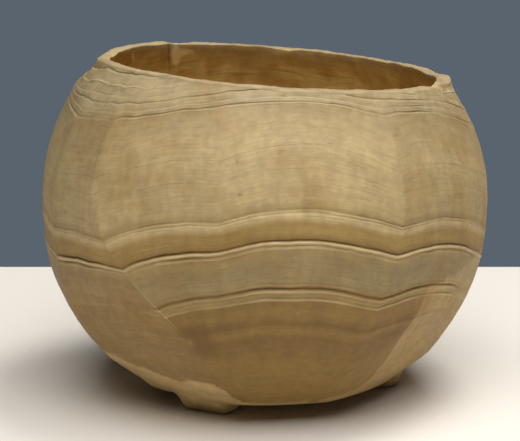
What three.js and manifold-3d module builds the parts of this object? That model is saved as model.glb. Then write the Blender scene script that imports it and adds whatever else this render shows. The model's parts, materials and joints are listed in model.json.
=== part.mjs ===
// Stone tripod vessel: a round-bellied bowl carved with its three feet from
// one block of banded stone. Broad upright facets run round the wall and are
// worn away near the mouth, flat cuts turn the wall under at the base, eroded
// beds of the stone circle it, and the worn rim is tilted.
// Millimetres, +Z up, front at -Y, origin on the ground at the middle of the
// footprint.
import * as THREE from "three";
import Module from "manifold-3d";
import { mergeVertices } from "three/addons/utils/BufferGeometryUtils.js";

// Outer form, measured over the ridges between the facets
const bellyRadius = 112; // widest ring
const bellyHeight = 101; // level of the widest ring
const skirtRadius = 67; // where the belly's curve would meet the underside
const baseRadius = 65; // edge of the underside
const rimRadius = 86.6; // at the mean level of the rim
const rimHeight = 162.7; // mean level of the rim
const rimFallRight = 0.075; // drop of the rim per millimetre towards +X
const rimFallBack = 0.044; // drop of the rim per millimetre towards +Y
const baseDrift = 3.5; // how far the underside sits off the axis, to the right
const lowerBulge = 2.3; // fullness of the curve from belly to base
const lowerEase = 0.9; // how steeply that curve meets the base
const upperBulge = 2; // fullness of the shoulder
const edgeRound = 1.4; // worn edges of the rim
const baseEdge = 3; // bevel round the underside
const baseEdgeDrop = 0.6; // depth of that bevel

// Hollow
const rimWall = 6.2; // wall at the rim, over a ridge
const bellyWall = 10; // wall at the widest ring, over a ridge
const floorThickness = 12; // stone under the hollow
const floorRadius = 46; // flat of the hollow's floor

// Facets: each ridge starts at one angle at the shoulder and ends at another
// at the base, in degrees from the front, and positive to the right
const facetDepth = 0.45; // 0 leaves the wall round, 1 cuts each facet flat
const rimFacetDepth = 0.15; // what wear has left of the facets at the rim
const hollowFacetDepth = 0.2; // the hollow follows the facets less
const wearFrom = 146; // level above which the facets are worn
const wearTo = 163; // level at which only rimFacetDepth is left
const ridgeTurnTop = 118; // level where the ridges start to turn
const ridgeTurnLow = 25; // level where they have turned
const ridges = [
  { top: -62, low: -61 },
  { top: -45.5, low: -15 },
  { top: -10.3, low: -7 },
  { top: 36.5, low: 29 },
  { top: 79, low: 81 },
  { top: 118, low: 120 },
  { top: 159, low: 158 },
  { top: 203, low: 202 },
  { top: 250, low: 252 },
];

// Crease below which the wall runs straight down to the underside, at its
// level for some angles round the body
const creases = [
  { angle: -95, level: 20 },
  { angle: -45, level: 28 },
  { angle: -14, level: 19 },
  { angle: 0, level: 11.5 },
  { angle: 15, level: 13 },
  { angle: 32, level: 20 },
  { angle: 62, level: 22 },
  { angle: 120, level: 17 },
  { angle: 190, level: 21 },
];

// Flat cuts that turn the lower wall under, each given by its middle on the
// wall, its greatest depth there and how far it leans over the ground
const underCuts = [
  { angle: -27, level: 18, depth: 1.6, tilt: 47.5 },
  { angle: 56, level: 35, depth: 3.6, tilt: 34 },
  { angle: 140, level: 30, depth: 2.4, tilt: 38 },
  { angle: -112, level: 28, depth: 2.2, tilt: 40 },
];

// Eroded beds of the stone: shells of a given radius round a centre in the
// bowl, so that they arch on every facet and dip at the ridges
const bedCentre = new THREE.Vector3(0.4, -1.2, 45);
const bedScale = new THREE.Vector3(1.045, 0.96, 1);
const beds = [
  { radius: 105.2, depth: 1.1, halfWidth: 1.6 },
  { radius: 116.2, depth: 1.5, halfWidth: 1.9 },
  { radius: 141.2, depth: 0.7, halfWidth: 1.3 },
];

// Feet
const footCount = 3;
const footHeight = 9;
const footCircle = 54.6; // radius of the circle through their middles
const feetRight = 4.9; // middle of that circle, off the body's axis
const feetBack = 6.4;
const firstFootAngle = -32; // the foot that shows at the front left
const soleRadius = 9; // flat that stands on the ground
const footEdgeRadius = 12; // worn edge round the sole
const footEdgeHeight = 1.1;
const footWaistRadius = 14.2; // just above that edge
const footWaistHeight = 3.4;
const footTopRadius = 17; // where a foot grows out of the underside
const footRootRadius = 18.5; // its hidden root in the body
const footRootHeight = 15;

// Fineness of the faceted solid
const stepsPerFacet = 7;
const footSides = 28;
const underRows = 3; // rows of the turned-under wall
const bedRows = [7, 4, 8]; // rows of the wall below each bed
const shoulderRows = 4; // rows of the wall above the beds
const hollowRows = 15;

const radians = THREE.MathUtils.degToRad;
const lerp = THREE.MathUtils.lerp;
const smoothstep = THREE.MathUtils.smoothstep;
const euclideanModulo = THREE.MathUtils.euclideanModulo;
const floorHeight = footHeight + floorThickness;

// Angle of a ridge at one level, counted on past a full turn
function ridgeAngle(index, z) {
  const turn = 1 - smoothstep(z, ridgeTurnLow, ridgeTurnTop);
  const ridge = ridges[index % ridges.length];
  const turns = Math.floor(index / ridges.length);
  return lerp(ridge.top, ridge.low, turn) + 360 * turns;
}

// Share of the ridge radius that is left at a place across a facet
function facetShare(column, z, depth) {
  const width = ridgeAngle(column.facet + 1, z) - ridgeAngle(column.facet, z);
  const half = radians(width / 2);
  const chord = Math.cos(half) / Math.cos(half * (2 * column.across - 1));
  return 1 - depth * (1 - chord);
}

function columnAngle(column, z) {
  const start = ridgeAngle(column.facet, z);
  return lerp(start, ridgeAngle(column.facet + 1, z), column.across);
}

// Level of the crease at an angle, eased between the ones on either side
function creaseLevel(angle) {
  const first = creases[0];
  const turned = euclideanModulo(angle - first.angle, 360) + first.angle;
  const stops = [...creases, { angle: first.angle + 360, level: first.level }];
  const next = stops.findIndex((stop) => stop.angle > turned);
  const [a, b] = stops.slice(next - 1, next + 1);
  return lerp(a.level, b.level, smoothstep(turned, a.angle, b.angle));
}

// Curve between a low ring and the belly, for the wall and for the hollow
function bellyCurve(z, low, lowRadius, widest) {
  const below = Math.min((bellyHeight - z) / (bellyHeight - low), 1);
  return lerp(lowRadius, widest, (1 - below ** lowerBulge) ** lowerEase);
}

// Radius over the ridges at a level, with the crease of the wall at another
function ridgeRadius(z, crease = footHeight) {
  if (z < crease) {
    const up = (z - footHeight) / (crease - footHeight);
    return lerp(baseRadius, ridgeRadius(crease), up);
  }
  if (z < bellyHeight) {
    return bellyCurve(z, footHeight, skirtRadius, bellyRadius);
  }
  const above = (z - bellyHeight) / (rimHeight - bellyHeight);
  return bellyRadius - (bellyRadius - rimRadius) * above ** upperBulge;
}

// Radius of the hollow over the ridges at a level
function hollowRadius(z) {
  if (z < bellyHeight) {
    return bellyCurve(z, floorHeight, floorRadius, bellyRadius - bellyWall);
  }
  const above = (z - bellyHeight) / (rimHeight - bellyHeight);
  return ridgeRadius(z) - lerp(bellyWall, rimWall, Math.min(above, 1));
}

// A point at a radius, where the axis drifts sideways towards the base
function axisPoint(angle, radius, z) {
  const below = Math.max((bellyHeight - z) / (bellyHeight - footHeight), 0);
  const x = baseDrift * below ** 4 + radius * Math.sin(radians(angle));
  return new THREE.Vector3(x, -radius * Math.cos(radians(angle)), z);
}

function wallPoint(column, z, inset = 0) {
  const wear = smoothstep(z, wearFrom, wearTo);
  const share = facetShare(column, z, lerp(facetDepth, rimFacetDepth, wear));
  const angle = columnAngle(column, z);
  return axisPoint(angle, ridgeRadius(z, creaseLevel(angle)) * share - inset, z);
}

function hollowPoint(column, z) {
  const share = facetShare(column, z, hollowFacetDepth);
  return axisPoint(columnAngle(column, z), hollowRadius(z) * share, z);
}

// Level at which the wall crosses a bed of the stone, found by halving
function bedHeight(column, radius) {
  let low = footHeight;
  let high = 2 * rimHeight - bellyHeight;
  for (let step = 0; step < 40; step += 1) {
    const middle = (low + high) / 2;
    const offset = wallPoint(column, middle).sub(bedCentre).multiply(bedScale);
    const below = offset.length() < radius;
    low = below ? middle : low;
    high = below ? high : middle;
  }
  return low;
}

// Level of the tilted rim over a point
function rimLevel(point) {
  return rimHeight - rimFallRight * point.x - rimFallBack * point.y;
}

// Level at which the wall meets the rim, by closing in on the tilted plane
function rimCrossing(column) {
  let z = rimHeight;
  for (let step = 0; step < 30; step += 1) {
    z = rimLevel(wallPoint(column, z));
  }
  return z;
}

// Evenly spaced levels from one to another, without the last
function levels(from, to, count) {
  return Array.from({ length: count }, (_, i) => lerp(from, to, i / count));
}

// Upright section of the body, from the middle of the underside up to the lip
function wallSection(column) {
  const lipLevel = rimCrossing(column) - edgeRound;
  const underEdge = wallPoint(column, footHeight, baseEdge);
  underEdge.z -= baseEdgeDrop;
  const underMiddle = underEdge.clone().multiplyScalar(0.5).setZ(underEdge.z);
  const points = [underMiddle, underEdge];
  const climb = (from, to, count) => {
    levels(from, to, count).forEach((z) => points.push(wallPoint(column, z)));
  };
  const crease = creaseLevel(columnAngle(column, footHeight));
  climb(footHeight, crease, underRows);
  let from = crease;
  beds.forEach((bed, i) => {
    const crossing = bedHeight(column, bed.radius);
    const highest = lipLevel - 2 * bed.halfWidth;
    const fade = smoothstep(highest - crossing, 0, 2 * bed.halfWidth);
    const middle = Math.min(crossing, highest);
    climb(from, middle - bed.halfWidth, bedRows[i]);
    points.push(wallPoint(column, middle - bed.halfWidth));
    points.push(wallPoint(column, middle, bed.depth * fade));
    from = middle + bed.halfWidth;
  });
  climb(from, lipLevel, shoulderRows);
  points.push(wallPoint(column, lipLevel));
  const lip = wallPoint(column, lipLevel + edgeRound, edgeRound);
  points.push(lip.setZ(rimLevel(lip)));
  return points;
}

// Upright section of the hollow, which runs on above the rim to cut it open
function hollowSection(column) {
  const lipLevel = rimCrossing(column) - edgeRound;
  const floorEdge = hollowPoint(column, floorHeight);
  const points = [floorEdge.clone().multiplyScalar(0.5).setZ(floorHeight)];
  levels(floorHeight, lipLevel, hollowRows).forEach((z) => points.push(hollowPoint(column, z)));
  const edge = hollowPoint(column, lipLevel);
  const outward = edge.clone().setZ(0).setLength(edgeRound);
  const lip = edge.clone().add(outward);
  lip.z = rimLevel(lip);
  points.push(edge, lip, lip.clone().setZ(lip.z + rimWall));
  return points;
}

// Closed mesh through sections all round, with a fan at each end
function sweepSections(makeSection, firstPole, lastPole) {
  const sections = [];
  ridges.forEach((_, facet) => {
    levels(0, 1, stepsPerFacet).forEach((across) => {
      sections.push(makeSection({ facet, across }));
    });
  });
  const columns = sections.length;
  const rows = sections[0].length;
  const points = [firstPole, lastPole, ...sections.flat()];
  const vertex = (column, row) => 2 + (column % columns) * rows + row;
  const index = [];
  for (let column = 0; column < columns; column += 1) {
    index.push(0, vertex(column + 1, 0), vertex(column, 0));
    for (let row = 0; row < rows - 1; row += 1) {
      const a = vertex(column, row);
      const b = vertex(column + 1, row);
      const c = vertex(column + 1, row + 1);
      const d = vertex(column, row + 1);
      index.push(a, b, c, a, c, d);
    }
    index.push(1, vertex(column, rows - 1), vertex(column + 1, rows - 1));
  }
  const geometry = new THREE.BufferGeometry().setFromPoints(points);
  geometry.setIndex(index);
  return geometry;
}

function bodyGeometry() {
  const underPole = axisPoint(0, 0, footHeight).setZ(footHeight - baseEdgeDrop);
  const rimPole = new THREE.Vector3();
  rimPole.z = rimLevel(rimPole);
  return sweepSections(wallSection, underPole, rimPole);
}

function hollowGeometry() {
  const floorPole = axisPoint(0, 0, floorHeight);
  const openPole = new THREE.Vector3();
  openPole.z = rimLevel(openPole) + rimWall;
  return sweepSections(hollowSection, floorPole, openPole);
}

// A foot: a short stub that spreads into the underside and ends in a flat sole
function footGeometry(index) {
  const outline = [
    [0, 0],
    [soleRadius, 0],
    [footEdgeRadius, footEdgeHeight],
    [footWaistRadius, footWaistHeight],
    [footTopRadius, footHeight],
    [footRootRadius, footRootHeight],
    [0, footRootHeight],
  ];
  const profile = outline.map(([radius, z]) => new THREE.Vector2(radius, z));
  const geometry = new THREE.LatheGeometry(profile, footSides);
  const angle = radians(firstFootAngle + (index * 360) / footCount);
  geometry.rotateX(Math.PI / 2);
  geometry.translate(
    feetRight + footCircle * Math.sin(angle),
    feetBack - footCircle * Math.cos(angle),
    0,
  );
  return geometry;
}

// The column of the wall at an angle and level
function columnAt(angle, z) {
  const first = ridgeAngle(0, z);
  const turned = euclideanModulo(angle - first, 360) + first;
  let facet = 0;
  while (ridgeAngle(facet + 1, z) <= turned) {
    facet += 1;
  }
  const start = ridgeAngle(facet, z);
  const across = (turned - start) / (ridgeAngle(facet + 1, z) - start);
  return { facet, across };
}

// A block whose inner face is the flat of one under cut
function underCutGeometry(cut) {
  const size = 4 * bellyRadius;
  const geometry = new THREE.BoxGeometry(size, size, size);
  geometry.translate(0, -size / 2, 0);
  geometry.rotateX(radians(cut.tilt));
  geometry.rotateZ(radians(cut.angle));
  const face = wallPoint(columnAt(cut.angle, cut.level), cut.level, cut.depth);
  geometry.translate(face.x, face.y, face.z);
  return geometry;
}

const wasm = await Module();
wasm.setup();

// Solid of a closed geometry, with the flat slivers at a lathe's poles left out
function toSolid(geometry) {
  geometry.deleteAttribute("normal");
  geometry.deleteAttribute("uv");
  const merged = mergeVertices(geometry);
  const corners = Array.from(merged.index.array);
  const triangles = [];
  for (let i = 0; i < corners.length; i += 3) {
    const [a, b, c] = corners.slice(i, i + 3);
    if (a !== b && b !== c && c !== a) {
      triangles.push(a, b, c);
    }
  }
  const mesh = new wasm.Mesh({
    numProp: 3,
    vertProperties: new Float32Array(merged.attributes.position.array),
    triVerts: new Uint32Array(triangles),
  });
  return new wasm.Manifold(mesh);
}

function toGeometry(solid) {
  const mesh = solid.getMesh();
  const geometry = new THREE.BufferGeometry();
  geometry.setAttribute("position", new THREE.BufferAttribute(mesh.vertProperties, 3));
  geometry.setIndex(new THREE.BufferAttribute(mesh.triVerts, 1));
  geometry.computeVertexNormals();
  return geometry;
}

// The vessel as it was carved: the body turned under by flat cuts, the feet
// left standing on it, and the hollow taken out last
function carveVessel() {
  let solid = toSolid(bodyGeometry());
  for (let index = 0; index < footCount; index += 1) {
    solid = solid.add(toSolid(footGeometry(index)));
  }
  underCuts.forEach((cut) => {
    solid = solid.subtract(toSolid(underCutGeometry(cut)));
  });
  return toGeometry(solid.subtract(toSolid(hollowGeometry())));
}

// Warm buff stone with a dull, handled polish
const stone = new THREE.MeshStandardMaterial({ color: 0xae9569, roughness: 0.62, metalness: 0 });

const vessel = new THREE.Mesh(carveVessel(), stone);
vessel.name = "vessel";
vessel.geometry.computeBoundingBox();
const middle = vessel.geometry.boundingBox.getCenter(new THREE.Vector3());
vessel.position.set(-middle.x, -middle.y, 0);

const tripodVessel = new THREE.Group();
tripodVessel.name = "stone_tripod_vessel";
tripodVessel.add(vessel);

export default tripodVessel;
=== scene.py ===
"""Stone tripod vessel: the dressed model, its plain setting and its camera.

A round-bellied bowl carved with its three stub feet from one block of banded
stone. The wall carries broad upright facets, eroded beds of the stone circle
it, and the worn rim is tilted and chipped.
"""

import json
import logging
import math
from collections.abc import Callable
from dataclasses import dataclass, field
from enum import Enum

import bmesh
import bpy
import numpy as np
from mathutils import Matrix, Vector

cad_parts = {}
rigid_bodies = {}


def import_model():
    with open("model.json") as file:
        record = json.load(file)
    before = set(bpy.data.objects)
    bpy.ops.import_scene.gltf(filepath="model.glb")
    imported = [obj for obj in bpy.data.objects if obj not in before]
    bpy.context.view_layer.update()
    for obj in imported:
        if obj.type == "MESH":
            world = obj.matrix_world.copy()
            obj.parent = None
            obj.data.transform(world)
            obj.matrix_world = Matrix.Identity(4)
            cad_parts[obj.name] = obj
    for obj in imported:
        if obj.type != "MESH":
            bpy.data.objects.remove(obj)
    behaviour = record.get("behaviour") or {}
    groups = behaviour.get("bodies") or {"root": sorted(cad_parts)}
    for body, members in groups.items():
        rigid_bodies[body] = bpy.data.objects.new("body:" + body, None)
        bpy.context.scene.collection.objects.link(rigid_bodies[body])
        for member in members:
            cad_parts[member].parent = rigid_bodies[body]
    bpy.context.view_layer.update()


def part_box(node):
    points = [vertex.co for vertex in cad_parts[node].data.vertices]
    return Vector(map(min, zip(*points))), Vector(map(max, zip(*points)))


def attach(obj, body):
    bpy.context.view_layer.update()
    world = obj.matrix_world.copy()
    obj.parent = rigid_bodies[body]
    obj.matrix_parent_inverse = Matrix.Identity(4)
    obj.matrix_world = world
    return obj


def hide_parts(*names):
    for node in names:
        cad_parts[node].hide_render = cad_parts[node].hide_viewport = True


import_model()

MM = 0.001
FULL_TURN = 360.0
HALF_TURN = 180.0
LOG = logging.getLogger("vessel")
Array = np.ndarray
Pair = tuple[float, float]
Triple = tuple[float, float, float]
Socket = bpy.types.NodeSocket


class Tone(Enum):
    """The colours of the stone and of the setting, as sRGB hex values."""

    MOUTH = "#a8946c"
    SHOULDER = "#a08a60"
    BELLY = "#b19a6c"
    CREAM = "#c3ac7d"
    AMBER = "#9c8048"
    BUFF = "#a08858"
    BROWN = "#886b35"
    DEEP = "#785a2a"
    FOOT = "#8d7038"
    # GROOVE is laid in the opened beds as painted shade, and also draws the fine hairlines.
    GROOVE = "#624822"
    # LIP is laid on the lips under the opened beds as painted highlight, and also in one patch by the
    # knob.
    LIP = "#cbb486"
    HONEY = "#8f6b2c"
    INSIDE = "#dabb72"
    # Painted bounce light of the floor on the lower wall, the flats and the feet.
    CUT = "#d8bb84"
    BARE = "#9a7e4e"
    OLIVE = "#948056"
    UMBER = "#6e4c1c"
    OCHRE = "#a8792c"
    FILLER = "#ecdcac"
    CLOTH = "#ece5da"
    BACKDROP = "#5a646e"


def linear(tone: Tone) -> tuple[float, float, float, float]:
    """Turn a named sRGB colour into the linear values that the shaders take.

    Args:
        tone: The colour to turn.

    Returns:
        Red, green and blue in linear light, with an alpha of 1.
    """
    channels = [int(tone.value[i : i + 2], 16) / 255 for i in (1, 3, 5)]
    light = [c / 12.92 if c <= 0.04045 else ((c + 0.055) / 1.055) ** 2.4 for c in channels]
    return (light[0], light[1], light[2], 1.0)


def smoothstep(value: Array, low: float, high: float) -> Array:
    """Ease from 0 at one value to 1 at another.

    Args:
        value: The values to ease.
        low: Where the result leaves 0.
        high: Where the result reaches 1.

    Returns:
        The eased shares.
    """
    share = np.clip((value - low) / (high - low), 0.0, 1.0)
    return share * share * (3 - 2 * share)


def wrapped(angle: Array) -> Array:
    """Bring angles in degrees to within half a turn of the front."""
    return np.mod(angle + FULL_TURN / 2, FULL_TURN) - FULL_TURN / 2


def bell(aside: Array, half: float) -> Array:
    """Fall off from 1 in the middle to both sides."""
    return np.exp(-((aside / half) ** 2))


def outward_of(points: Array) -> Array:
    """Give the level unit vectors that point away from the middle."""
    return points[..., :2] / np.linalg.norm(points[..., :2], axis=-1, keepdims=True)


def read_points(obj: bpy.types.Object) -> Array:
    """Read an object's vertices in millimetres."""
    flat = np.zeros(len(obj.data.vertices) * 3)
    obj.data.vertices.foreach_get("co", flat)
    return flat.reshape(-1, 3) / MM


def write_points(obj: bpy.types.Object, points: Array) -> None:
    """Write vertices in millimetres back to an object."""
    obj.data.vertices.foreach_set("co", (points * MM).ravel())
    obj.data.update()


def edit(obj: bpy.types.Object, kind: str, action: str) -> bmesh.types.BMesh:
    """Open an object's mesh for editing.

    Args:
        obj: The object, which is the active one.
        kind: What is picked: "VERT", "EDGE" or "FACE".
        action: What is done to the picks at first: "SELECT" or "DESELECT".

    Returns:
        The mesh that is being edited.
    """
    bpy.ops.object.mode_set(mode="EDIT")
    bpy.ops.mesh.select_mode(type=kind)
    bpy.ops.mesh.select_all(action=action)
    return bmesh.from_edit_mesh(obj.data)


def leave_edit() -> None:
    """Drop all picks and close the mesh again."""
    bpy.ops.mesh.select_all(action="DESELECT")
    bpy.ops.object.mode_set(mode="OBJECT")


def eased(angle: Array, stops: tuple[Pair, ...]) -> Array:
    """Read a value that eases from stop to stop round the bowl.

    Args:
        angle: Degrees from the front.
        stops: Angles with their values, within one full turn.

    Returns:
        The value at each angle.
    """
    first = stops[0]
    turned = np.mod(angle - first[0], FULL_TURN) + first[0]
    closed = [*stops, (first[0] + FULL_TURN, first[1])]
    value = np.full(np.shape(angle), float(first[1]))
    for (start, low), (end, high) in zip(closed, closed[1:]):
        between = low + (high - low) * smoothstep(turned, start, end)
        value = np.where((turned >= start) & (turned <= end), between, value)
    return value


@dataclass(frozen=True)
class Ripple:
    """A soft random unevenness, as a hand tool leaves it on stone.

    It is a sum of plane waves in random directions, so it has no seam.
    """

    seed: int
    wavelength: float
    height: float
    waves: int = 18

    def at(self, points: Array) -> Array:
        """Give the unevenness at some points.

        Args:
            points: Places in millimetres, with the coordinates last.

        Returns:
            A height in millimetres for each point.
        """
        draw = np.random.default_rng(self.seed)
        total = np.zeros(points.shape[:-1])
        for _ in range(self.waves):
            direction = draw.normal(size=3)
            direction /= np.linalg.norm(direction)
            length = self.wavelength * draw.uniform(0.6, 1.7)
            phase = draw.uniform(0, 2 * math.pi)
            total += np.sin(points @ direction * (2 * math.pi / length) + phase)
        return self.height * total / math.sqrt(self.waves / 2)


@dataclass(frozen=True)
class Ridge:
    """An upright edge between two facets, by its angle above and below.

    The beds dip where they cross it, by one measure low down and by another
    near the mouth. The last value is how bright the facet after it is painted:
    painted shade on the side facets and painted light on the front one.
    """

    top: float
    low: float
    low_dip: float = -0.8
    high_dip: float = -0.4
    # Painted shade on the side facets, painted light on the front one, as a brightness for the facet
    # after the ridge.
    painted_facet_shade: float = 1.0


@dataclass(frozen=True)
class FlatCut:
    """A flat that turns the lower wall under, by its middle and its lean.

    The depth is how far it cuts in there, and the tilt is in degrees.
    """

    angle: float
    level: float
    depth: float
    tilt: float


@dataclass(frozen=True)
class BedLine:
    """A bed of the stone that weather has opened into a groove and a lip.

    The groove, the lip under it and the ledge under both are heights in
    millimetres. It runs from the first to the last angle.
    """

    radius: float
    groove: float
    width: float
    lip: float
    lip_below: float
    lip_width: float
    ledge: float = 0.0
    first: float = -180.0
    last: float = 180.0


@dataclass(frozen=True)
class Chip:
    """A small break of the rim's outer or inner side.

    The angle and the half width are in degrees, the depth in millimetres.
    """

    angle: float
    half_width: float
    depth: float
    outside: bool = True


@dataclass
class WallForm:
    """The carved form of the bowl's wall, in millimetres about its own axis."""

    belly_radius: float = 112.0
    belly_height: float = 101.0
    skirt_radius: float = 67.0
    base_radius: float = 65.0
    rim_radius: float = 86.6
    rim_height: float = 162.7
    rim_fall_right: float = 0.075
    rim_fall_back: float = 0.044
    base_drift: float = 3.5
    drift_power: int = 4
    lower_bulge: float = 2.3
    lower_ease: float = 0.9
    upper_bulge: float = 2.0
    foot_height: float = 9.0
    facet_depth: float = 0.45
    rim_facet_depth: float = 0.15
    wear_from: float = 146.0
    wear_to: float = 163.0
    turn_top: float = 118.0
    turn_low: float = 25.0
    rim_wall: float = 6.2
    belly_wall: float = 10.0
    floor_height: float = 21.0
    floor_radius: float = 46.0
    hollow_facet_depth: float = 0.2
    bed_centre: Triple = (0.4, -1.2, 45.0)
    bed_scale: Triple = (1.045, 0.96, 1.0)
    bed_change: Pair = (118.0, 138.0)
    dip_reach: float = 5.0
    # The last value of each ridge is painted shade (below 1) or painted light (above 1) on the facet
    # after it.
    ridges: tuple[Ridge, ...] = (
        Ridge(-62, -61, -1.3, -0.6, 0.9),
        Ridge(-45.5, -15, 0.4, -0.1),
        Ridge(-10.3, -7, -1.1, -0.6, 1.02),
        Ridge(36.5, 26, -1.2, -0.35, 0.93),
        Ridge(79, 81),
        Ridge(118, 120),
        Ridge(159, 158),
        Ridge(203, 202),
        Ridge(250, 252),
    )
    creases: tuple[Pair, ...] = (
        (-95, 20), (-45, 28), (-14, 19), (0, 11.5), (15, 13), (32, 20), (62, 22), (120, 17),
        (190, 21),
    )
    low_waves: tuple[Pair, ...] = (
        (-140, 0.0), (-100, -0.4), (-62, -0.6), (-53, 0.05), (-46, 0.95), (-37, 1.3), (-29, 1.2),
        (-22, 0.85), (-16, 0.35), (-8, 0.05), (0, 0.0), (8, 0.45), (24, 0.55), (34, 0.4), (42, 0.1),
        (49, 0.15), (62, 0.6), (70, 0.95), (95, 1.0), (140, 0.0),
    )
    high_waves: tuple[Pair, ...] = (
        (-140, 0.0), (-100, -1.0), (-62, -1.0), (-50, -0.45), (-44, -0.1), (-38, 0.6), (-30, 0.6),
        (-22, 0.05), (-14, -0.1), (0, -0.4), (13, -0.5), (22, -0.2), (32, 0.3), (42, 0.15),
        (49, 0.3), (57, 0.6), (70, 0.75), (95, 0.85), (140, 0.0),
    )
    cuts: tuple[FlatCut, ...] = (
        FlatCut(-27, 17.0, 0.3, 50),
        FlatCut(56, 35, 3.2, 34),
        FlatCut(140, 30, 2.4, 38),
        FlatCut(-112, 28, 2.2, 40),
    )
    cut_edge: float = 0.5
    least_facing: float = 0.2

    def ridge_angles(self, z: Array) -> Array:
        """Give the angles of all ridges at some levels.

        Args:
            z: Levels in millimetres.

        Returns:
            Degrees from the front, with the ridges along a new last axis and
            the first ridge again, a full turn on, at its end.
        """
        turn = 1 - smoothstep(z, self.turn_low, self.turn_top)
        tops = np.array([ridge.top for ridge in self.ridges])
        lows = np.array([ridge.low for ridge in self.ridges])
        angles = tops + (lows - tops) * turn[..., None]
        return np.concatenate([angles, angles[..., :1] + FULL_TURN], axis=-1)

    def facet_edges(self, facet: Array, z: Array) -> tuple[Array, Array]:
        """Give the angles where some facets start and end.

        Args:
            facet: The number of each place's facet.
            z: Levels in millimetres, of the same shape.

        Returns:
            Degrees from the front.
        """
        ridges = self.ridge_angles(z)
        start = np.take_along_axis(ridges, facet[..., None], axis=-1)[..., 0]
        end = np.take_along_axis(ridges, facet[..., None] + 1, axis=-1)[..., 0]
        return start, end

    def place_on_facet(self, angle: Array, z: Array) -> tuple[Array, Array, Array]:
        """Find the facet under some places of the wall.

        Args:
            angle: Degrees from the front.
            z: Levels in millimetres.

        Returns:
            The facet's number, the share of the way across it and its width
            in degrees.
        """
        ridges = self.ridge_angles(z)
        first = ridges[..., 0]
        turned = np.mod(angle - first, FULL_TURN) + first
        facet = np.clip((turned[..., None] >= ridges).sum(axis=-1) - 1, 0, len(self.ridges) - 1)
        start, end = self.facet_edges(facet, z)
        return facet, (turned - start) / (end - start), end - start

    def angle_of(self, facet: Array, across: Array, z: Array) -> Array:
        """Give the angle at a share of the way across a facet, at some levels."""
        start, end = self.facet_edges(facet, z)
        return start + (end - start) * across

    def facet_share(self, across: Array, width: Array, depth: Array | float) -> Array:
        """Give the share of the ridge radius that the facets leave.

        Args:
            across: Share of the way across the facet.
            width: The facet's width in degrees.
            depth: 0 for a round wall, 1 for flat facets.

        Returns:
            The share of the radius over the ridges.
        """
        half = np.radians(width / 2)
        chord = np.cos(half) / np.cos(half * (2 * across - 1))
        return 1 - depth * (1 - chord)

    def depth_at(self, z: Array) -> Array:
        """Give how deep the facets still are at some levels."""
        wear = smoothstep(z, self.wear_from, self.wear_to)
        return self.facet_depth + (self.rim_facet_depth - self.facet_depth) * wear

    def lower_radius(self, z: Array, low: float, low_radius: float, widest: float) -> Array:
        """Give the swelling curve between a low ring and the belly.

        Args:
            z: Levels in millimetres.
            low: The low ring's level.
            low_radius: The low ring's radius.
            widest: The radius at the belly.

        Returns:
            Radii in millimetres.
        """
        below = np.clip((self.belly_height - z) / (self.belly_height - low), 0, 1)
        return low_radius + (widest - low_radius) * (1 - below**self.lower_bulge) ** self.lower_ease

    def rise(self, z: Array) -> Array:
        """Give the share of the way from the belly up to the rim."""
        return np.maximum(z - self.belly_height, 0) / (self.rim_height - self.belly_height)

    def upper_radius(self, rise: Array) -> Array:
        """Give the radius over the ridges above the belly."""
        return self.belly_radius - (self.belly_radius - self.rim_radius) * rise**self.upper_bulge

    def ridge_radius(self, z: Array, crease: Array) -> Array:
        """Give the radius over the ridges.

        Args:
            z: Levels in millimetres.
            crease: The level under which the wall runs straight to the
                underside, at the same places.

        Returns:
            Radii in millimetres.
        """
        lower = self.lower_radius(z, self.foot_height, self.skirt_radius, self.belly_radius)
        at_crease = self.lower_radius(crease, self.foot_height, self.skirt_radius, self.belly_radius)
        up = (z - self.foot_height) / (crease - self.foot_height)
        straight = self.base_radius + (at_crease - self.base_radius) * up
        upper = self.upper_radius(self.rise(z))
        return np.where(z < crease, straight, np.where(z < self.belly_height, lower, upper))

    def axis_x(self, z: Array) -> Array:
        """Give how far the axis has drifted to the right at some levels."""
        below = np.maximum((self.belly_height - z) / (self.belly_height - self.foot_height), 0)
        return self.base_drift * below**self.drift_power

    def middle(self, level: float) -> float:
        """Give how far the axis has drifted to the right at one level."""
        return float(self.axis_x(np.array([level]))[0])

    def angle_at(self, points: Array) -> Array:
        """Give the angle of some points about the drifting axis."""
        aside = points[..., 0] - self.axis_x(points[..., 2])
        return np.degrees(np.arctan2(aside, -points[..., 1]))

    def cut_plane(self, cut: FlatCut) -> tuple[Array, Array]:
        """Give the plane of a flat cut.

        Args:
            cut: The flat.

        Returns:
            A point on the plane, in millimetres, and its outward normal.
        """
        lean = math.radians(cut.tilt)
        turn = math.radians(cut.angle)
        angle = np.array([float(cut.angle)])
        level = np.array([float(cut.level)])
        place = self.point(angle, self.plain_radius(angle, level) - cut.depth, level)[0]
        flat = math.cos(lean)
        return place, np.array([flat * math.sin(turn), -flat * math.cos(turn), -math.sin(lean)])

    def cut_radius(self, cut: FlatCut, angle: Array, z: Array) -> Array:
        """Give the radius of a flat cut, or a large one where it doesn't reach.

        Args:
            cut: The flat.
            angle: Degrees from the front.
            z: Levels in millimetres.

        Returns:
            Radii in millimetres.
        """
        place, normal = self.cut_plane(cut)
        facing = np.cos(np.radians(angle - cut.angle))
        reach = place @ normal - normal[0] * self.axis_x(z) - normal[2] * z
        slant = math.cos(math.radians(cut.tilt)) * np.maximum(facing, self.least_facing)
        return np.where(facing > self.least_facing, reach / slant, 4 * self.belly_radius)

    def plain_radius(self, angle: Array, z: Array) -> Array:
        """Give the wall's radius with its facets but without the flat cuts.

        Args:
            angle: Degrees from the front.
            z: Levels in millimetres.

        Returns:
            Radii in millimetres, from the drifting axis.
        """
        _, across, width = self.place_on_facet(angle, z)
        share = self.facet_share(across, width, self.depth_at(z))
        return self.ridge_radius(z, eased(angle, self.creases)) * share

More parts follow.
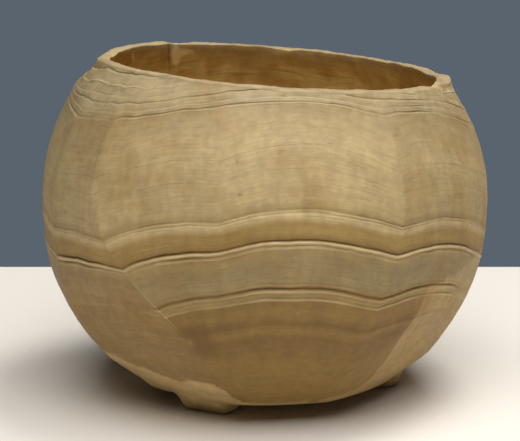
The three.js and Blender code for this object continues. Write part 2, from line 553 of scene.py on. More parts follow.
    def wall_radius(self, angle: Array, z: Array) -> Array:
        """Give the wall's radius with its facets and flat cuts.

        Args:
            angle: Degrees from the front.
            z: Levels in millimetres.

        Returns:
            Radii in millimetres, from the drifting axis.
        """
        radius = self.plain_radius(angle, z)
        for cut in self.cuts:
            other = self.cut_radius(cut, angle, z)
            blend = np.clip(0.5 + (other - radius) / (2 * self.cut_edge), 0, 1)
            soft = other + (radius - other) * blend - self.cut_edge * blend * (1 - blend)
            radius = np.where(other < radius + self.cut_edge, soft, radius)
        return radius

    def point(self, angle: Array, radius: Array, z: Array) -> Array:
        """Turn an angle, radius and level into coordinates.

        Args:
            angle: Degrees from the front, positive to the right.
            radius: Millimetres from the drifting axis.
            z: Levels in millimetres.

        Returns:
            Coordinates in millimetres along a new last axis.
        """
        turn = np.radians(angle)
        x = self.axis_x(z) + radius * np.sin(turn)
        return np.stack([x, -radius * np.cos(turn), z + 0 * radius], axis=-1)

    def below_rim(self, points: Array) -> Array:
        """Give how far some points lie below the plane of the tilted rim."""
        fall = self.rim_fall_right * points[..., 0] + self.rim_fall_back * points[..., 1]
        return self.rim_height - fall - points[..., 2]

    def bed_radius(self, points: Array) -> Array:
        """Tell which bed of the stone passes through some points.

        The beds are shells round a centre in the bowl, and dip or rise a
        little at the ridges between facets and towards the sides.

        Args:
            points: Coordinates in millimetres.

        Returns:
            The radius of each point's bed.
        """
        offset = (points - np.array(self.bed_centre)) * np.array(self.bed_scale)
        distance = np.linalg.norm(offset, axis=-1)
        angle = self.angle_at(points)
        upper = smoothstep(distance, *self.bed_change)
        low = eased(angle, self.low_waves)
        high = eased(angle, self.high_waves)
        ridges = self.ridge_angles(points[..., 2])
        for number, ridge in enumerate(self.ridges):
            dip = np.exp(-np.abs(wrapped(angle - ridges[..., number])) / self.dip_reach)
            low = low + ridge.low_dip * dip
            high = high + ridge.high_dip * dip
        return distance + low + (high - low) * upper


@dataclass
class BedRelief:
    """The opened beds of the wall and the unevenness that the tools left."""

    form: WallForm
    low_bed: float = 88.0
    high_bed: float = 157.0
    row_step: float = 1.7
    bed_gap: float = 0.07
    groove_steps: tuple[float, ...] = (-1.0, -0.3, 0.4, 1.1, 2.0)
    lip_steps: tuple[float, ...] = (-2.0, -1.2, -0.5, 0.2, 0.9)
    ledge_reach: float = 1.6
    wander: tuple[Ripple, ...] = (Ripple(5, 30, 0.06), Ripple(7, 7, 0.025))
    mean_vigour: float = 0.9
    vigour: Ripple = Ripple(6, 26, 0.18)
    side_angles: Pair = (58.0, 76.0)
    side_beds: Pair = (125.0, 135.0)
    side_loss: float = 0.5
    start_soft: float = 1.5
    end_soft: float = 6.0
    broad: Ripple = Ripple(11, 42, 0.28)
    along: Ripple = Ripple(12, 5.0, 0.05)
    fine: Ripple = Ripple(13, 2.4, 0.025)
    stretch: Triple = (0.35, 0.35, 1.0)
    beds: tuple[BedLine, ...] = (
        BedLine(99.0, 0.2, 0.2, 0.15, 0.6, 0.3, first=-14, last=62),
        BedLine(105.25, 0.35, 0.15, 0.55, 0.55, 0.24, 0.25, first=-25, last=70),
        BedLine(107.2, 0.75, 0.2, 0.5, 0.72, 0.3, 0.25, first=-28, last=74),
        BedLine(108.2, 0.1, 0.15, 0.22, 0.35, 0.18, first=-28, last=74),
        BedLine(115.8, 0.42, 0.14, 0.4, 0.6, 0.16, 0.1),
        BedLine(116.85, 0.3, 0.15, 0.45, 0.52, 0.2, 0.2, last=-63),
        BedLine(116.85, 0.95, 0.2, 0.6, 0.52, 0.2, 0.3, first=-62),
        BedLine(122.3, 0.22, 0.13, 0.08, 0.4, 0.2),
        BedLine(122.95, 0.3, 0.13, 0.1, 0.35, 0.15),
        BedLine(141.3, 0.45, 0.1, 0.2, 0.28, 0.14),
        BedLine(142.25, 0.25, 0.09, 0.1, 0.2, 0.1),
        BedLine(143.4, 0.42, 0.1, 0.14, 0.25, 0.1),
        BedLine(144.4, 0.18, 0.08, 0.08, 0.18, 0.1),
        BedLine(145.85, 0.2, 0.08, 0.4, 0.16, 0.1),
        BedLine(147.4, 0.5, 0.11, 0.15, 0.27, 0.1),
    )

    def row_beds(self) -> Array:
        """Choose the beds that the wall's rows follow, close together at grooves.

        Returns:
            Rising bed radii.
        """
        stops: list[float] = []
        for bed in self.beds:
            lip = bed.radius - bed.lip_below
            stops += [bed.radius + bed.width * step for step in self.groove_steps]
            stops += [lip + bed.lip_width * step for step in self.lip_steps]
        stops += list(np.arange(self.low_bed, self.high_bed, self.row_step))
        rows: list[float] = []
        for stop in sorted(stops):
            if not rows or stop - rows[-1] > self.bed_gap:
                rows.append(stop)
        return np.array(rows)

    def share_along(self, line: BedLine, turned: Array) -> Array | float:
        """Tell how much of a bed line is open.

        Args:
            line: The line.
            turned: Degrees from the front, within half a turn.

        Returns:
            A share from 0 to 1.
        """
        if line.first <= -HALF_TURN and line.last >= HALF_TURN:
            return 1.0
        start = smoothstep(turned, line.first - self.start_soft, line.first + self.start_soft)
        return start * (1 - smoothstep(turned, line.last - self.end_soft, line.last + self.end_soft))

    def height(self, points: Array, angle: Array, ledges: float = 1.0) -> Array:
        """Give how far the beds stand out from or sink into the wall.

        Args:
            points: Places on the plain wall in millimetres.
            angle: Their degrees from the front.
            ledges: How much of the ledges under the lines is counted.

        Returns:
            Millimetres, positive outwards.
        """
        bed = self.form.bed_radius(points)
        turned = wrapped(angle)
        wander = sum(ripple.at(points) for ripple in self.wander)
        vigour = self.mean_vigour + self.vigour.at(points)
        sides = smoothstep(np.abs(turned), *self.side_angles) * (1 - smoothstep(bed, *self.side_beds))
        vigour = vigour * (1 - self.side_loss * sides)
        total = np.zeros(bed.shape)
        for line in self.beds:
            up = bed - line.radius - wander
            groove = -line.groove * bell(up, line.width)
            lip = line.lip * bell(up + line.lip_below, line.lip_width)
            fading = np.exp(np.minimum(up, 0) / self.ledge_reach)
            ledge = ledges * line.ledge * np.where(up < 0, fading, bell(up, line.width))
            total += self.share_along(line, turned) * vigour * (groove + lip + ledge)
        return total

    def uneven(self, points: Array) -> Array:
        """Give the hand-worked unevenness of the wall in millimetres."""
        stretched = points * np.array(self.stretch)
        return self.broad.at(points) + self.along.at(stretched) + self.fine.at(stretched)


@dataclass
class RimWear:
    """The rim's chips and knob, and the worn shoulder at its left end."""

    form: WallForm
    reach: float = 5.0
    side_soft: float = 2.5
    loss: float = 0.15
    loss_spread: float = 0.5
    loss_ripples: tuple[Ripple, ...] = (Ripple(31, 16, 0.12), Ripple(32, 3.5, 0.06))
    chip_rough: Ripple = Ripple(33, 3.0, 0.25)
    chip_across: float = 0.25
    back_lift: float = 0.65
    back_angles: Pair = (100.0, 130.0)
    least_drop: float = -0.9
    most_drop: float = 4.2
    knob_angle: float = 92.0
    knob_half: float = 9.0
    knob_out: float = 1.8
    knob_up: float = 1.8
    sunk_angle: float = -100.0
    sunk_half: float = 21.0
    sunk_levels: Pair = (6.0, 17.0)
    sunk_in: float = 1.6
    sunk_worn: float = 3.2
    sunk_drop: float = 1.7
    chips: tuple[Chip, ...] = (
        Chip(-98, 16, 1.0), Chip(-82, 9, 1.4), Chip(8, 3.5, 0.8), Chip(14, 2.0, 0.5),
        Chip(52, 3, 0.6), Chip(73, 6, 2.2), Chip(105, 4, 0.9, False), Chip(134, 6, 0.5),
        Chip(171, 5, 0.8, False), Chip(-150, 6, 1.0), Chip(-121, 4, 0.8),
    )

    def sunk_share(self, points: Array) -> Array:
        """Tell how far the wear of the left shoulder reaches some points."""
        near = bell(self.form.angle_at(points) - self.sunk_angle, self.sunk_half)
        return near * (1 - smoothstep(self.form.below_rim(points), *self.sunk_levels))

    def bitten(self, points: Array, angle: Array, outside: Array) -> Array:
        """Give how deep the chips bite.

        Args:
            points: Coordinates in millimetres.
            angle: Their degrees from the front.
            outside: 1 on the rim's outer side, 0 on its inner side.

        Returns:
            Depths in millimetres.
        """
        rough = 1 + self.chip_rough.at(points)
        total = np.zeros(angle.shape)
        for chip in self.chips:
            bite = np.clip(1 - (wrapped(angle - chip.angle) / chip.half_width) ** 2, 0, 1)
            share = outside if chip.outside else 1 - outside
            depth = chip.depth * (self.chip_across + (1 - self.chip_across) * share)
            total += bite * rough * depth
        return total

    def apply(self, obj: bpy.types.Object) -> None:
        """Wear the rim.

        Args:
            obj: The closed shell.
        """
        points = read_points(obj)
        below = self.form.below_rim(points)
        near = np.clip(1 - below / self.reach, 0, 1)
        angle = self.form.angle_at(points)
        radius = np.hypot(points[:, 0], points[:, 1])
        middle = self.form.rim_radius - self.form.rim_wall / 2
        outside = smoothstep(radius, middle - self.side_soft, middle + self.side_soft)
        sunk = self.sunk_share(points)
        knob = outside * near * bell(angle - self.knob_angle, self.knob_half)
        loss = self.loss + sum(ripple.at(points) for ripple in self.loss_ripples)
        lift = self.back_lift * smoothstep(np.abs(angle), *self.back_angles)
        drop = near**self.loss_spread * loss + near * (self.bitten(points, angle, outside) - lift)
        drop = np.clip(drop + self.sunk_drop * sunk, self.least_drop, self.most_drop)
        outward = self.knob_out * knob - (self.sunk_in + self.sunk_worn * outside) * sunk
        points[:, :2] += outward_of(points) * outward[:, None]
        points[:, 2] -= (drop - self.knob_up * knob) * (below < self.reach)
        write_points(obj, points)


@dataclass
class StubFeet:
    """The stub feet: worn cylinders, cut by the flats that turn the wall under."""

    form: WallForm
    circle: float = 54.6
    middle: Pair = (4.9, 6.4)
    first: float = -32.0
    sides: int = 72
    sizes: tuple[float, ...] = (1.0, 0.76, 1.0)
    wear_seed: int = 41
    wear_length: float = 16.0
    wear_height: float = 0.35
    wear_levels: Pair = (0.05, 3.0)
    least_down: float = -0.5
    root_reach: float = 22.0
    root_levels: Pair = (2.0, 14.0)
    root_turn: float = -0.35
    root_rounds: int = 6
    outline: tuple[Pair, ...] = (
        (9.0, 0.0), (11.0, 0.35), (12.3, 1.2), (13.6, 2.5), (14.4, 3.8), (15.5, 6.0), (17.0, 9.0),
        (18.5, 15.0),
    )

    def place(self, index: int) -> Array:
        """Give the middle of a foot on the ground.

        Args:
            index: Which of the feet.

        Returns:
            Its x and y in millimetres.
        """
        turn = math.radians(self.first + index * FULL_TURN / len(self.sizes))
        x = self.middle[0] + self.circle * math.sin(turn)
        return np.array([x, self.middle[1] - self.circle * math.cos(turn)])

    def model(self, index: int) -> bpy.types.Object:
        """Model one stub foot from a cylinder primitive.

        Args:
            index: Which of the feet.

        Returns:
            A closed stub in its place under the body.
        """
        x, y = self.place(index) * MM
        height = self.outline[-1][1] * MM
        bpy.ops.object.select_all(action="DESELECT")
        bpy.ops.mesh.primitive_cylinder_add(
            vertices=self.sides,
            radius=MM,
            depth=height,
            end_fill_type="NGON",
            location=(x, y, height / 2),
        )
        obj = bpy.context.object
        obj.name = f"foot_{index}"
        bpy.ops.object.transform_apply(location=True, rotation=True, scale=True)
        mesh = edit(obj, "FACE", "DESELECT")
        for face in mesh.faces:
            face.select_set(face.normal.z < self.least_down)
        bmesh.update_edit_mesh(obj.data)
        bpy.ops.mesh.delete(type="FACE")
        mesh = edit(obj, "EDGE", "DESELECT")
        for vertex in mesh.verts:
            radius, level = self.outline[-2 if vertex.co.z < height / 2 else -1]
            aside = Vector((vertex.co.x - x, vertex.co.y - y, 0)).normalized()
            vertex.co = Vector((x, y, level * MM)) + aside * (radius * self.sizes[index] * MM)
        for edge in mesh.edges:
            if edge.is_boundary:
                edge.select_set(True)
        bmesh.update_edit_mesh(obj.data)
        for (radius, level), (wide, above) in zip(self.outline[-3::-1], self.outline[-2:0:-1]):
            move = {"value": (0, 0, (level - above) * MM)}
            bpy.ops.mesh.extrude_region_move(TRANSFORM_OT_translate=move)
            mesh = bmesh.from_edit_mesh(obj.data)
            for vertex in mesh.verts:
                if vertex.select:
                    aside = Vector((vertex.co.x - x, vertex.co.y - y, 0))
                    vertex.co += aside * (radius / wide - 1)
            bmesh.update_edit_mesh(obj.data)
        bpy.ops.mesh.edge_face_add()
        bpy.ops.mesh.select_all(action="SELECT")
        bpy.ops.mesh.normals_make_consistent(inside=False)
        leave_edit()
        self.wear(obj, index)
        self.cut(obj)
        LOG.info("foot %d: %d vertices", index, len(obj.data.vertices))
        return obj

    def wear(self, obj: bpy.types.Object, index: int) -> None:
        """Make a foot uneven all round, from just above its sole.

        Args:
            obj: The foot.
            index: Which of the feet.
        """
        points = read_points(obj)
        worn = Ripple(self.wear_seed + index, self.wear_length, self.wear_height).at(points)
        outward = points[:, :2] - self.place(index)
        outward /= np.maximum(np.linalg.norm(outward, axis=1, keepdims=True), 1e-6)
        points[:, :2] += outward * (smoothstep(points[:, 2], *self.wear_levels) * worn)[:, None]
        write_points(obj, points)

    def cut(self, obj: bpy.types.Object) -> None:
        """Carry the flat cuts of the wall on over a foot.

        Args:
            obj: The foot.
        """
        for flat in self.form.cuts:
            place, normal = self.form.cut_plane(flat)
            edit(obj, "FACE", "SELECT")
            bpy.ops.mesh.bisect(
                plane_co=Vector(place) * MM,
                plane_no=Vector(normal),
                use_fill=True,
                clear_outer=True,
            )
            leave_edit()

    def reaches(self, place: Vector) -> bool:
        """Tell whether a place lies within reach of a foot.

        Args:
            place: Coordinates in metres.

        Returns:
            Whether a foot's middle is near enough.
        """
        spot = np.array(place)[:2] / MM
        gaps = [np.linalg.norm(spot - self.place(index)) for index in range(len(self.sizes))]
        return min(gaps) < self.root_reach

    def soften_roots(self, obj: bpy.types.Object) -> None:
        """Smooth the hollow corners where the feet grow out of the underside.

        Args:
            obj: The body, fused with its feet.
        """
        mesh = edit(obj, "VERT", "DESELECT")
        low, high = self.root_levels
        for edge in mesh.edges:
            if edge.is_manifold and low * MM < edge.verts[0].co.z < high * MM:
                sharp = edge.calc_face_angle_signed(0) < self.root_turn
                if sharp and any(self.reaches(vertex.co) for vertex in edge.verts):
                    for vertex in edge.verts:
                        vertex.select_set(True)
        mesh.select_flush(True)
        bmesh.update_edit_mesh(obj.data)
        bpy.ops.mesh.select_more()
        bpy.ops.mesh.vertices_smooth(factor=0.5, repeat=self.root_rounds)
        leave_edit()


@dataclass
class BedMarks:
    """What the mesh tells the finish about each vertex: its bed, its wear and where light and shade
    are painted.
    """

    form: WallForm
    relief: BedRelief
    wear: RimWear
    skin: Pair = (3.2, 1.8)
    bare_until: int = 1
    bare_top: Pair = (113.8, 114.6)
    bare_low: Pair = (46.0, 62.0)
    bare_soft: float = 14.0
    bare_edge: Pair = (-0.5, 1.0)
    bare_back: Pair = (90.0, 120.0)
    edge_width: float = 0.5
    edge_bright: float = 0.35
    # The ragged, soft upper edge of the band of painted bounce light.
    bounce_light_ragged: Ripple = Ripple(51, 12, 0.5)
    bounce_light_soft: float = 0.8
    inner_ragged: Ripple = Ripple(52, 7, 0.9)
    inner_first: Pair = (0.8, 2.2)
    inner_full: Pair = (3.0, 11.0)
    inner_start: float = 0.35
    floor_skin: float = 4.0
    # The beds between which the facets' painted shade shows.
    painted_shade_from: Pair = (118.0, 125.0)
    painted_shade_until: Pair = (140.5, 147.0)
    # How high the painted bounce light of the floor reaches round the bowl, and how strong it is
    # there.
    bounce_light_levels: tuple[Pair, ...] = (
        (-140, 20), (-100, 24), (-60, 30), (-45, 26), (-38, 24), (-31, 21), (-24, 23.5), (-19, 24),
        (-15, 20), (-12.5, 15), (-9.5, 11), (15, 11.5), (28, 12), (36, 14), (41, 19), (44, 28),
        (46, 48), (50, 68), (90, 76), (120, 30),
    )
    bounce_light_shares: tuple[Pair, ...] = (
        (-140, 0.6), (-60, 0.55), (-36, 0.9), (-18, 0.9), (0, 0.8), (30, 0.7), (45, 0.45),
        (110, 0.45),
    )

    def outer_share(self, points: Array, wall: Array) -> Array:
        """Tell which points lie on the outside of the wall.

        Args:
            points: Coordinates in millimetres.
            wall: The plain wall's radius at the same places.

        Returns:
            1 outside, 0 in the hollow.
        """
        radius = np.hypot(points[:, 0] - self.form.axis_x(points[:, 2]), points[:, 1])
        worn = (self.wear.sunk_in + self.wear.sunk_worn) * self.wear.sunk_share(points)
        return smoothstep(radius + worn, wall - self.skin[0], wall - self.skin[1])

    def bare_share(self, angle: Array, z: Array, bed: Array) -> tuple[Array, Array]:
        """Tell where the wall lies bare, past the first edge of the left facet.

        Args:
            angle: Degrees from the front.
            z: Levels in millimetres.
            bed: The beds' radii.

        Returns:
            The bare share, and the bright line along its edge.
        """
        past = self.form.ridge_angles(z)[..., self.bare_until] - angle
        up = smoothstep(z, *self.bare_low)
        under = 1 - smoothstep(bed, *self.bare_top)
        bare = smoothstep(past / (1 + self.bare_soft * (1 - up)), *self.bare_edge)
        bare = bare * (1 - smoothstep(-angle, *self.bare_back)) * under
        return bare, self.edge_bright * bell(past, self.edge_width) * up * under

    def inner_share(self, points: Array) -> Array:
        """Tell how much of the hollow's colour shows, by the depth in it.

        Args:
            points: Coordinates in millimetres.

        Returns:
            A share from 0 to 1, with a ragged edge under the rim.
        """
        ragged = self.form.below_rim(points) + self.inner_ragged.at(points)
        first = self.inner_start * smoothstep(ragged, *self.inner_first)
        deep = first + (1 - self.inner_start) * smoothstep(ragged, *self.inner_full)
        return deep * (points[:, 2] > self.form.floor_height - self.floor_skin)

    def values(self, points: Array) -> dict[str, Array]:
        """Work out all marks.

        Args:
            points: Coordinates in millimetres, about the vessel's own axis.

        Returns:
            A value for each point, by the mark's name.
        """
        form = self.form
        z = points[:, 2]
        angle = form.angle_at(points)
        wall = form.wall_radius(angle, np.clip(z, form.foot_height, None))
        outer = self.outer_share(points, wall)
        smooth = form.point(angle, wall, z) * outer[:, None] + points * (1 - outer[:, None])
        bed = form.bed_radius(smooth)
        bare, edge = self.bare_share(angle, z, bed)
        # A pale band under a ragged level: painted bounce light of the floor.
        fringe = eased(angle, self.bounce_light_levels) + self.bounce_light_ragged.at(points)
        pale = 1 - smoothstep(z, fringe - self.bounce_light_soft, fringe + self.bounce_light_soft)
        # The facets' painted shade and light, shown only between some beds on the outside.
        facet, _, _ = form.place_on_facet(angle, z)
        painted_shade_by_facet = np.array([ridge.painted_facet_shade for ridge in form.ridges])[facet]
        painted_shade_band = smoothstep(bed, *self.painted_shade_from) * (1 - smoothstep(bed, *self.painted_shade_until))
        return {
            "bed": bed,
            # The relief without its ledges, with the bright line at the bare facet's edge, for the
            # painted shade of the grooves and the painted highlight of the lips.
            "relief": (self.relief.height(smooth, angle, 0.0) + edge) * outer,
            "inner": (1 - outer) * self.inner_share(points),
            # Painted bounce light on the lower wall, the flats and the feet.
            "cut": eased(angle, self.bounce_light_shares) * pale * np.where(z < form.foot_height, 1.0, outer),
            "bare": bare * outer,
            "painted_facet_shade": 1 + (painted_shade_by_facet - 1) * outer * painted_shade_band,
        }

    def store(self, obj: bpy.types.Object) -> None:
        """Store the marks on a mesh.

        Args:
            obj: The mesh, still about its own axis.
        """
        for name, value in self.values(read_points(obj)).items():
            attribute = obj.data.attributes.new(name, "FLOAT", "POINT")
            attribute.data.foreach_set("value", value.astype(np.float32))
        LOG.info("%s: beds and wear marked", obj.name)


@dataclass(frozen=True)
class Columns:
    """The mesh's upright columns, each by its facet and its place across it."""

    facet: Array
    across: Array

    def spread(self, z: Array) -> tuple[Array, Array]:
        """Give the facet and the share across for levels by column.

        Args:
            z: Levels, with the columns along the first axis.

        Returns:
            The facets' numbers and the shares, in the shape of the levels.
        """
        shape = (len(self.facet),) + (1,) * (z.ndim - 1)
        facet = np.broadcast_to(self.facet.reshape(shape), z.shape)
        return facet, np.broadcast_to(self.across.reshape(shape), z.shape)


# A function that gives a wall's points for some columns and their levels.
Shape = Callable[[Columns, Array], Array]


@dataclass
class CarvedVessel:
    """The whole vessel: the wall with its beds, the rim, the hollow, the feet."""

    form: WallForm = field(default_factory=WallForm)
    column_count: int = 432
    under_rings: int = 8
    low_rows: int = 16
    row_gap: float = 0.2
    hollow_rows: int = 34
    hollow_spread: float = 1.15
    floor_rings: int = 8
    pole_hole: float = 0.02
    edge_round: float = 1.4
    inner_round: float = 0.6
    edge_steps: int = 4
    rim_shares: tuple[float, ...] = (0.33, 0.67)
    base_edge: float = 3.0
    base_edge_drop: float = 0.6
    base_smooth: float = 0.25
    base_reach: float = 6.0
    under_ripple: Ripple = Ripple(14, 22, 0.18)
    hollow_ripple: Ripple = Ripple(21, 30, 0.35)
    tool_ripple: Ripple = Ripple(22, 4.5, 0.12)
    tool_stretch: Triple = (0.3, 0.3, 1.0)
    floor_ripple: Ripple = Ripple(23, 18, 0.25)
    floor_sag: float = 0.6
    halvings: int = 30
    lip_rounds: int = 40
    settle_levels: int = 300
    settle_angles: int = 1441
    smooth_below: float = 50.0
    relief: BedRelief = field(init=False)
    wear: RimWear = field(init=False)
    feet: StubFeet = field(init=False)
    marks: BedMarks = field(init=False)

    def __post_init__(self) -> None:
        """Make the parts that share the wall's form."""
        self.relief = BedRelief(self.form)
        self.wear = RimWear(self.form)
        self.feet = StubFeet(self.form)
        self.marks = BedMarks(self.form, self.relief, self.wear)

    def grid(self, name: str, points: Array) -> bpy.types.Object:
        """Roll a flat grid primitive up into a wall and close its seam.

        Args:
            name: The object's name.
            points: Coordinates in millimetres, by column and then by row.

        Returns:
            The new object.
        """
        columns = points.shape[0]
        rows = points.shape[1] - 1
        bpy.ops.object.select_all(action="DESELECT")
        bpy.ops.mesh.primitive_grid_add(x_subdivisions=columns, y_subdivisions=rows, size=2)
        obj = bpy.context.object
        obj.name = name
        obj.data.name = name
        flat = read_points(obj) * MM
        column = np.rint((flat[:, 0] + 1) / 2 * columns).astype(int) % columns
        row = np.rint((flat[:, 1] + 1) / 2 * rows).astype(int)
        write_points(obj, points[column, row])
        edit(obj, "VERT", "SELECT")
        bpy.ops.mesh.remove_doubles(threshold=MM / 1000)
        leave_edit()
        LOG.info("%s: %d columns, %d rows", name, columns, rows)
        return obj

    def columns(self) -> Columns:
        """Spread the columns over the facets by their mean width.

        Returns:
            The columns, in order round the vessel.
        """
        low = self.form.ridge_angles(np.array([self.form.turn_low]))[0]
        top = self.form.ridge_angles(np.array([self.form.turn_top]))[0]
        widths = (np.diff(low) + np.diff(top)) / 2
        counts = np.rint(widths / FULL_TURN * self.column_count).astype(int)
        facets = np.repeat(np.arange(len(counts)), counts)
        across = np.concatenate([np.arange(count) / count for count in counts])
        return Columns(facets, across)

    def bed_levels(self, columns: Columns, radii: Array) -> Array:
        """Find where each column crosses each bed, by halving.

        Args:
            columns: The columns.
            radii: The beds' radii.

        Returns:
            Levels in millimetres, by column and bed.
        """
        form = self.form
        low = np.full((len(columns.facet), len(radii)), form.foot_height)
        high = np.full(low.shape, 2 * form.rim_height - form.belly_height)
        for _ in range(self.halvings):
            z = (low + high) / 2
            angle = form.angle_of(*columns.spread(z), z)
            points = form.point(angle, form.plain_radius(angle, z), z)
            below = form.bed_radius(points) < radii[None, :]
            low = np.where(below, z, low)
            high = np.where(below, high, z)
        return (low + high) / 2

    def plain_wall(self, columns: Columns, z: Array) -> Array:
        """Give points on the outer wall, in millimetres, without its unevenness."""
        angle = self.form.angle_of(*columns.spread(z), z)
        return self.form.point(angle, self.form.wall_radius(angle, z), z)

    def hollow_wall(self, columns: Columns, z: Array) -> Array:
        """Give points on the plain wall of the hollow.

        Args:
            columns: The columns.
            z: Levels in millimetres, by column.

        Returns:
            Coordinates in millimetres.
        """
        form = self.form
        facet, across = columns.spread(z)
        start, end = form.facet_edges(facet, z)
        share = form.facet_share(across, end - start, form.hollow_facet_depth)
        rise = form.rise(z)
        thickness = form.belly_wall + (form.rim_wall - form.belly_wall) * np.minimum(rise, 1)
        widest = form.belly_radius - form.belly_wall
        lower = form.lower_radius(z, form.floor_height, form.floor_radius, widest)
        radius = np.where(z < form.belly_height, lower, form.upper_radius(rise) - thickness)
        return form.point(form.angle_of(facet, across, z), radius * share, z)

    def lip_level(self, wall: Shape, columns: Columns, rounding: float) -> Array:
        """Close in on the level where a wall comes up to the rounded lip.

        Args:
            wall: Gives the wall's points for columns and levels.
            columns: The columns.
            rounding: The radius of the lip's edge on that side.

        Returns:
            One level in millimetres for each column.
        """
        level = np.full(len(columns.facet), self.form.rim_height)
        for _ in range(self.lip_rounds):
            level = level + self.form.below_rim(wall(columns, level)) - rounding
        return level

    def outer_rows(self, columns: Columns) -> Array:
        """Work out the outside, from the middle of the underside to the lip.

        Args:
            columns: The columns.

        Returns:
            Coordinates in millimetres, by column and row.
        """
        form = self.form
        foot = form.foot_height
        upper = self.bed_levels(columns, self.relief.row_beds())
        lower = foot + (upper[:, :1] - foot) * (np.arange(self.low_rows) / self.low_rows)
        z = np.concatenate([lower, upper], axis=1)
        lip = self.lip_level(self.plain_wall, columns, self.edge_round)[:, None]
        z = np.where(z > lip - self.row_gap, lip, z)
        angle = form.angle_of(*columns.spread(z), z)
        radius = form.wall_radius(angle, z)
        plain = form.point(angle, radius, z)
        fade = self.base_smooth + (1 - self.base_smooth) * smoothstep(z, foot, foot + self.base_reach)
        carved = radius + self.relief.height(plain, angle) + self.relief.uneven(plain) * fade
        edge = form.point(angle[:, :1], radius[:, :1] - self.base_edge, z[:, :1])
        edge[..., 2] -= self.base_edge_drop
        middle = np.array([form.middle(foot), 0, edge[0, 0, 2]])
        rings = np.arange(self.under_rings) / self.under_rings
        under = middle + (edge - middle) * (self.pole_hole + (1 - self.pole_hole) * rings)[:, None]
        under[..., 2] += self.under_ripple.at(under)
        return np.concatenate([under, edge, form.point(angle, carved, z)], axis=1)

    def hollow_rows_down(self, columns: Columns) -> Array:
        """Work out the hollow, from the lip down to the middle of its floor.

        Args:
            columns: The columns.

        Returns:
            Coordinates in millimetres, by column and row.
        """
        floor_height = self.form.floor_height
        lip = self.lip_level(self.hollow_wall, columns, self.inner_round)[:, None]
        climb = 1 - (np.arange(self.hollow_rows + 1) / self.hollow_rows) ** self.hollow_spread
        wall = self.hollow_wall(columns, floor_height + (lip - floor_height) * climb)
        tooled = self.tool_ripple.at(wall * np.array(self.tool_stretch))
        bumps = self.hollow_ripple.at(wall) + tooled
        wall[..., :2] += outward_of(wall) * bumps[..., None]
        middle = np.array([self.form.middle(floor_height), 0, floor_height])
        rings = np.arange(1, self.floor_rings + 1) / self.floor_rings
        shares = 1 - (1 - self.pole_hole) * rings
        floor = middle + (wall[:, -1:] - middle) * shares[:, None]
        floor[..., 2] += self.floor_ripple.at(floor) - self.floor_sag * (1 - shares)
        return np.concatenate([wall, floor], axis=1)

    def rim_rows(self, outer: Array, inner: Array) -> Array:
        """Round the lip off on both sides and cross the rim between them.

        Args:
            outer: The last points of the outer wall, one for each column.
            inner: The first points of the hollow.

        Returns:
            Coordinates in millimetres, by column and row.
        """
        turns = np.arange(1, self.edge_steps + 1) * (math.pi / 2 / self.edge_steps)
        outward = outward_of(outer)[:, None]
        sides = []
        for edge, rounding in ((outer, -self.edge_round), (inner, self.inner_round)):
            side = np.repeat(edge[:, None], len(turns), axis=1)
            side[..., :2] += outward * (1 - np.cos(turns))[:, None] * rounding
            side[..., 2] += np.sin(turns) * abs(rounding)
            sides.append(side)
        over, back = sides
        flat = over[:, -1:] + (back[:, -1:] - over[:, -1:]) * np.array(self.rim_shares)[:, None]
        return np.concatenate([over, flat, back[:, ::-1]], axis=1)

    def close_poles(self, obj: bpy.types.Object) -> None:
        """Close the small holes in the middle of the underside and the floor.

        Args:
            obj: The rolled-up wall.
        """
        between = (self.form.foot_height + self.form.floor_height) / 2 * MM
        for lower in (True, False):
            mesh = edit(obj, "EDGE", "DESELECT")
            for edge in mesh.edges:
                edge.select_set(edge.is_boundary and (edge.verts[0].co.z < between) == lower)
            bmesh.update_edit_mesh(obj.data)
            bpy.ops.mesh.extrude_region_move()
            bpy.ops.mesh.merge(type="CENTER")
            leave_edit()

    def fuse(self, obj: bpy.types.Object, foot: bpy.types.Object) -> None:
        """Fuse a foot with the body and remove the loose copy.

        Args:
            obj: The body.
            foot: The foot.
        """
        bpy.ops.object.select_all(action="DESELECT")
        bpy.context.view_layer.objects.active = obj
        obj.select_set(True)
        union = obj.modifiers.new("fuse", "BOOLEAN")
        union.operation = "UNION"
        union.solver = "MANIFOLD"
        union.object = foot
        bpy.ops.object.modifier_apply(modifier=union.name)
        bpy.data.objects.remove(foot)

    def settle(self, obj: bpy.types.Object) -> None:
        """Move the mesh from its own axis into the place of the frame's solid.

        Args:
            obj: The finished mesh.
        """
        form = self.form
        levels = np.linspace(form.foot_height, form.rim_height, self.settle_levels)
        ring = np.linspace(-HALF_TURN, HALF_TURN, self.settle_angles)
        angle, level = np.meshgrid(ring, levels)
        plain = form.point(angle, form.wall_radius(angle, level), level).reshape(-1, 3)
        middle = (plain.min(axis=0) + plain.max(axis=0)) / 2 * MM
        low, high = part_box("vessel")
        centre = (low + high) / 2
        shift = Vector((centre.x - middle[0], centre.y - middle[1], low.z))
        obj.data.transform(Matrix.Translation(shift))
        LOG.info("settled by %.2f and %.2f mm", shift.x / MM, shift.y / MM)

